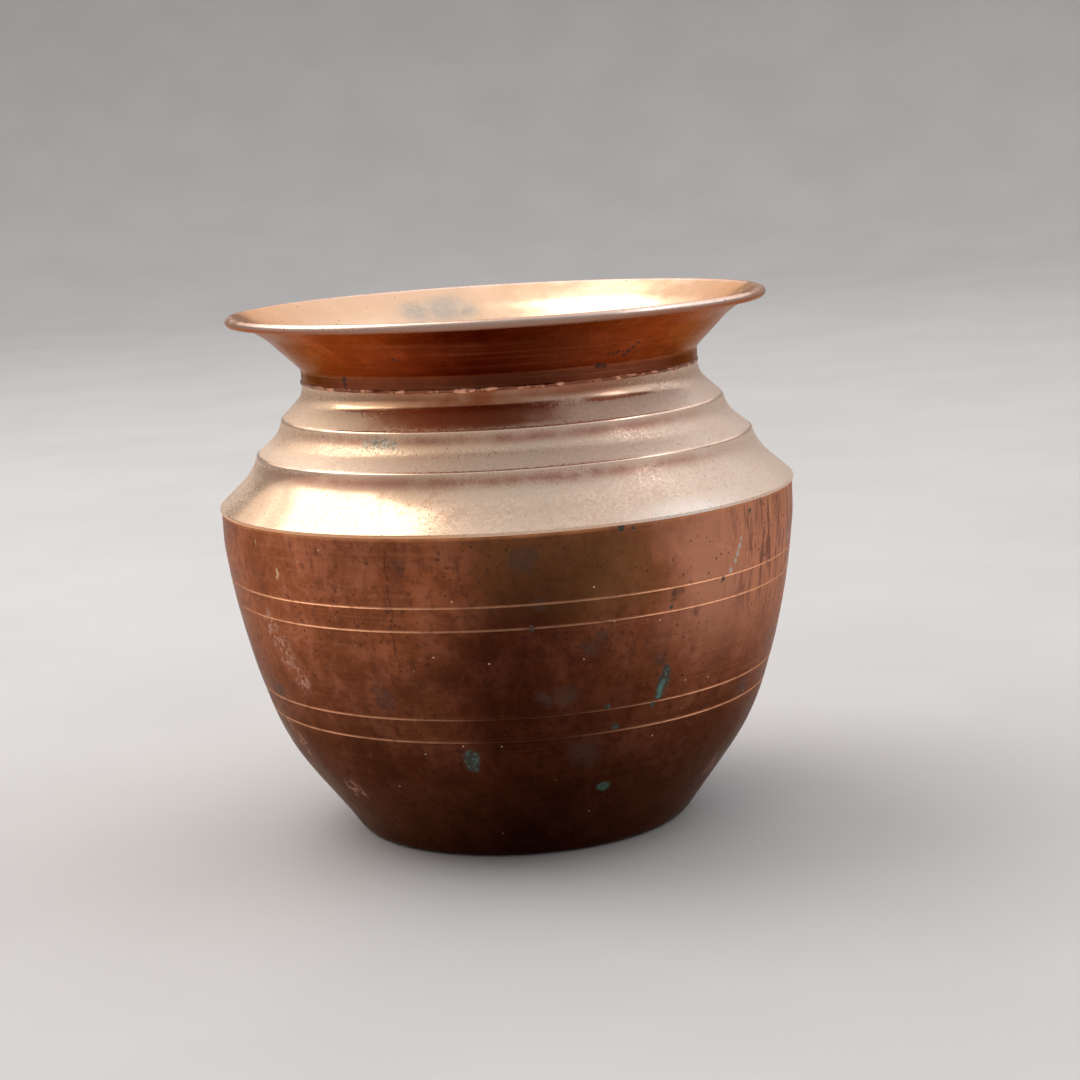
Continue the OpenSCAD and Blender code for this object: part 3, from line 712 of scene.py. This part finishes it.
# ---- the neck and mouth -----------------------------------------------------
def copper_flare():
    n = Nodes("red_copper_mouth")
    big, mid = n.noise(19, 3, 0.5), n.noise(5.2, 4, 0.6)
    fine = n.noise(1.1, 4, 0.7)
    turned = n.noise(0.55, 2, 0.6, n.turn)
    outside = n.outer
    outc = n.mix(n.step(big, 0.35, 0.65), (0.40, 0.094, 0.032), (0.32, 0.078, 0.027))
    outc = n.mix(n.mul(n.step(mid, 0.45, 0.7), 0.5), outc, (0.58, 0.155, 0.055))
    outc = n.mix(n.mul(n.step(fine, 0.52, 0.75), 0.45), outc, (0.20, 0.045, 0.016))
    # painted shade: darker low on the neck, just above the seam
    outc = n.mix(n.mul(n.step(n.z, 102.2, 100.8), n.step(mid, 0.25, 0.5, 0.7, 1.0), 0.8), outc, (0.17, 0.045, 0.022))
    # painted shade on the outside: much darker over the middle of the front, and darker at the sides
    drift = n.m("MULTIPLY_ADD", n.m("SUBTRACT", big, 0.5), 40.0, n.a)
    outc = n.mix(n.mul(n.step(n.off(drift, -1.0), 38, 4), 0.85), outc, (0.28, 0.23, 0.23), "MULTIPLY")
    outc = n.mix(n.step(n.off(n.a, 0.0), 40, 64, 0.0, 0.7), outc, (0.40, 0.42, 0.50), "MULTIPLY")
    inc = n.mix(n.step(big, 0.35, 0.65), (0.82, 0.55, 0.365), (0.77, 0.53, 0.375))
    inc = n.mix(n.mul(n.step(mid, 0.45, 0.7), 0.5), inc, (0.86, 0.61, 0.43))
    inc = n.mix(n.mul(n.step(fine, 0.55, 0.78), 0.3), inc, (0.57, 0.35, 0.22))
    smoke = n.spots([(-166, 109.0, 5.0), (-158, 108.6, 4.0), (-172, 107.5, 3.0), (150, 105.5, 3.0), (20, 107, 3.5), (75, 104, 3.5)],
                    soft=0.7, squeeze=1.5, radius=50)
    inc = n.mix(n.mul(smoke, n.step(fine, 0.3, 0.6, 0.45, 0.75)), inc, (0.37, 0.37, 0.345))
    # painted shade: darker and browner deeper down inside the neck
    inc = n.mix(n.mul(n.step(n.z, 104, 99), 0.55), inc, (0.44, 0.24, 0.13))
    col = n.mix(outside, inc, outc)
    col = n.mix(n.mul(n.step(turned, 0.5, 0.8), 0.14), col, (0.88, 0.50, 0.30))
    # the rolled rim: rubbed pale on top with a painted highlight there, brown beneath with painted shade, and darker at
    # the front, also painted shade
    rimc = n.mix(n.mul(n.step(n.z, 112.0, 112.7), n.step(mid, 0.2, 0.5, 0.7, 1.0)), (0.38, 0.16, 0.10), (0.96, 0.77, 0.68))
    rimc = n.mix(n.mul(n.step(fine, 0.55, 0.7), 0.4), rimc, (0.32, 0.15, 0.10))
    rimc = n.mix(n.mul(n.step(n.off(drift, -2.0), 46, 14), 0.6), rimc, (0.42, 0.27, 0.21))
    col = n.mix(n.mul(n.step(n.r, 55.9, 56.5), 0.9), col, rimc)
    specks = n.mul(n.step(n.cells(1.9), 0.15, 0.06), n.step(n.noise(8, 2, 0.5), 0.42, 0.56))
    col = n.mix(n.mul(specks, 0.8), col, (0.09, 0.045, 0.03))
    # dark scratches on the outside of the flare
    marks = n.spots([(29.0, 103.55, 0.42), (30.4, 103.7, 0.46), (31.8, 103.85, 0.44), (33.4, 103.95, 0.40), (34.4, 103.1, 0.50),
                     (35.2, 103.8, 0.55), (36.0, 104.6, 0.50), (36.8, 105.4, 0.42), (40.4, 106.2, 0.32), (41.0, 107.0, 0.32),
                     (-47.6, 100.8, 0.60), (-47.5, 99.9, 0.65), (-26, 105.2, 0.50), (27.5, 101.4, 0.7), (29.5, 101.3, 0.6),
                     (150, 103, 0.6), (151, 104, 0.5)], soft=0.35,
                    radius=lambda z: neck_r - 0.15 + flare_rate * max(0.0, z - flare_z))
    marks = n.mul(marks, outside)
    col = n.mix(n.mul(marks, 0.9), col, (0.055, 0.024, 0.017))
    rough = n.add(n.step(mid, 0.3, 0.75, 0.17, 0.28), n.mul(n.step(fine, 0.4, 0.8), 0.09), n.mul(smoke, 0.15), n.mul(marks, 0.3))
    height = n.add(n.m("MULTIPLY", turned, 0.005), n.m("MULTIPLY", n.noise(0.26, 1, 0.5, n.turn), 0.0025),
                   n.m("MULTIPLY", fine, 0.005), n.m("MULTIPLY", n.noise(8, 1, 0.5), 0.10))
    return n.finish(col, n.step(marks, 0.0, 1.0, 1.0, 0.5), rough, height, edge=(0.80, 0.55, 0.43))


def braze_metal(name, light, dark):
    n = Nodes(name)
    mid, fine = n.noise(2.6, 4, 0.65), n.noise(0.6, 4, 0.7)
    col = n.mix(n.step(mid, 0.36, 0.50), light, dark)
    col = n.mix(n.mul(n.step(fine, 0.5, 0.7), 0.5), col, (0.14, 0.06, 0.04))
    return n.finish(col, 1.0, n.step(fine, 0.3, 0.8, 0.3, 0.55), n.add(n.m("MULTIPLY", mid, 0.15), n.m("MULTIPLY", fine, 0.06)))


def wire_metal():
    n = Nodes("drawn_wire")
    fine = n.noise(0.5, 3, 0.6)
    col = n.mix(n.step(fine, 0.35, 0.65), (0.42, 0.22, 0.14), (0.26, 0.12, 0.08))
    return n.finish(col, 1.0, n.step(fine, 0.3, 0.8, 0.35, 0.6), n.m("MULTIPLY", fine, 0.02))


for ob, mat, slot, node in (
        (bowl, copper_bowl(), "tarnished_copper", "lower_bowl"),
        (shoulder, copper_shoulder(), "satin_copper", "shoulder_shell"),
        (flare, copper_flare(), "red_copper", "neck_flare"),
        (wire, wire_metal(), "wire", "rim_wire"),
        (seam, braze_metal("neck_seam_braze", (0.86, 0.42, 0.27), (0.30, 0.11, 0.06)), "braze", "neck_braze"),
        (neck_fillet, braze_metal("neck_fillet_braze", (0.66, 0.42, 0.2), (0.42, 0.24, 0.12)), "braze", "neck_braze"),
        (girth_fillet, braze_metal("girth_fillet_braze", (0.66, 0.42, 0.2), (0.42, 0.24, 0.12)), "braze", "girth_braze")):
    ob.data.materials.append(mat)
    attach(ob, "root")
    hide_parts(node)


# ---------------------------------------------------------------------------
# Stage: a round pale sweep, so the background is the same from every side, and soft lights.
# ---------------------------------------------------------------------------
def sweep():
    n, flat, bend, wall = 128, 1.7, 0.7, 0.8
    line = [(r, 0.0) for r in (0.0, 0.15, 0.35, 0.7, 1.2, flat)]
    line += [(flat + bend * math.sin(t), bend - bend * math.cos(t)) for t in np.linspace(0, math.pi / 2, 13)[1:]]
    line += [(flat + bend, wall)]
    verts, faces = [(0.0, 0.0, 0.0)], []
    for r, z in line[1:]:
        verts += [(r * math.cos(2 * math.pi * i / n), r * math.sin(2 * math.pi * i / n), z) for i in range(n)]
    faces += [(0, 1 + i, 1 + (i + 1) % n) for i in range(n)]
    for k in range(len(line) - 2):
        a, b = 1 + k * n, 1 + (k + 1) * n
        faces += [(a + i, b + i, b + (i + 1) % n, a + (i + 1) % n) for i in range(n)]
    me = bpy.data.meshes.new("sweep")
    me.from_pydata(verts, [], faces)
    me.polygons.foreach_set("use_smooth", [True] * len(me.polygons))
    ob = bpy.data.objects.new("sweep", me)
    scene.collection.objects.link(ob)
    nn = Nodes("pale_floor")
    fine = nn.noise(0.8, 3, 0.6)
    ob.data.materials.append(nn.finish(
        nn.mix(nn.step(nn.noise(90, 3, 0.5), 0.3, 0.7), (0.53, 0.52, 0.52), (0.56, 0.55, 0.548)), 0.0,
        nn.step(fine, 0.3, 0.7, 0.75, 0.9), nn.m("MULTIPLY", fine, 0.02)))


sweep()

def room():
    """The room beyond the sweep: bright above, dimmer towards the camera's side, a little cooler on the right."""
    world = bpy.data.worlds.new("room")
    scene.world = world
    world.use_nodes = True
    nt = world.node_tree
    back = nt.nodes["Background"]
    coord = nt.nodes.new("ShaderNodeTexCoord")
    sep = nt.nodes.new("ShaderNodeSeparateXYZ")
    nt.links.new(coord.outputs["Generated"], sep.inputs[0])

    def ramp(v, lo, hi, to_lo, to_hi):
        n = nt.nodes.new("ShaderNodeMapRange")
        n.interpolation_type = "SMOOTHSTEP"
        nt.links.new(v, n.inputs["Value"])
        for key, val in (("From Min", lo), ("From Max", hi), ("To Min", to_lo), ("To Max", to_hi)):
            n.inputs[key].default_value = val
        return n.outputs[0]

    def times(a, b):
        n = nt.nodes.new("ShaderNodeMath")
        n.operation = "MULTIPLY"
        nt.links.new(a, n.inputs[0])
        nt.links.new(b, n.inputs[1])
        return n.outputs[0]
    high = ramp(sep.outputs[2], 0.02, 0.40, 0.36, 1.14)
    near = ramp(sep.outputs[1], -0.75, 0.10, 0.42, 1.0)
    tint = nt.nodes.new("ShaderNodeMix")
    tint.data_type = "RGBA"
    nt.links.new(ramp(sep.outputs[0], -0.4, 0.7, 0.0, 1.0), tint.inputs[0])
    tint.inputs[6].default_value = (1.0, 0.965, 0.92, 1.0)
    tint.inputs[7].default_value = (1.0, 1.01, 1.05, 1.0)
    nt.links.new(tint.outputs[2], back.inputs[0])
    nt.links.new(times(high, near), back.inputs[1])


room()


def soft_light(name, toward, distance, size_x, size_y, radiance, colour=(1, 1, 1), side=(1, 0, 0)):
    """A one-sided soft box seen from the pot in the direction toward, with its x side along side."""
    d = bpy.data.lights.new(name, "AREA")
    d.shape = "RECTANGLE"
    d.size, d.size_y = size_x, size_y
    d.energy = radiance * math.pi * size_x * size_y
    d.color = colour
    o = bpy.data.objects.new(name, d)
    scene.collection.objects.link(o)
    w = Vector(toward).normalized()
    u = (Vector(side) - w * Vector(side).dot(w)).normalized()
    v = w.cross(u)
    at = w * distance + Vector((0, 0, 0.08))
    o.matrix_world = Matrix(((u.x, v.x, w.x, at.x), (u.y, v.y, w.y, at.y), (u.z, v.z, w.z, at.z), (0, 0, 0, 1)))
    return o


# The main soft box stands up and to the left, a little behind the pot; a narrow strip shines past its far
# edge, and a small one stands up to the right.
soft_light("main_soft_box", (-0.545, 0.222, 0.812), 1.1, 0.80, 1.05, 2.6, (1.0, 0.965, 0.91), side=(-0.04, 0.33, -0.23))
soft_light("left_strip", (-0.546, 0.655, 0.53), 1.15, 0.05, 0.75, 1.8, (1.0, 0.97, 0.94), side=(-0.04, 0.33, -0.23))
soft_light("right_box", (0.70, -0.04, 0.70), 1.2, 0.90, 0.22, 2.1, (1.0, 0.985, 0.965), side=(0.17, -0.39, -0.14))
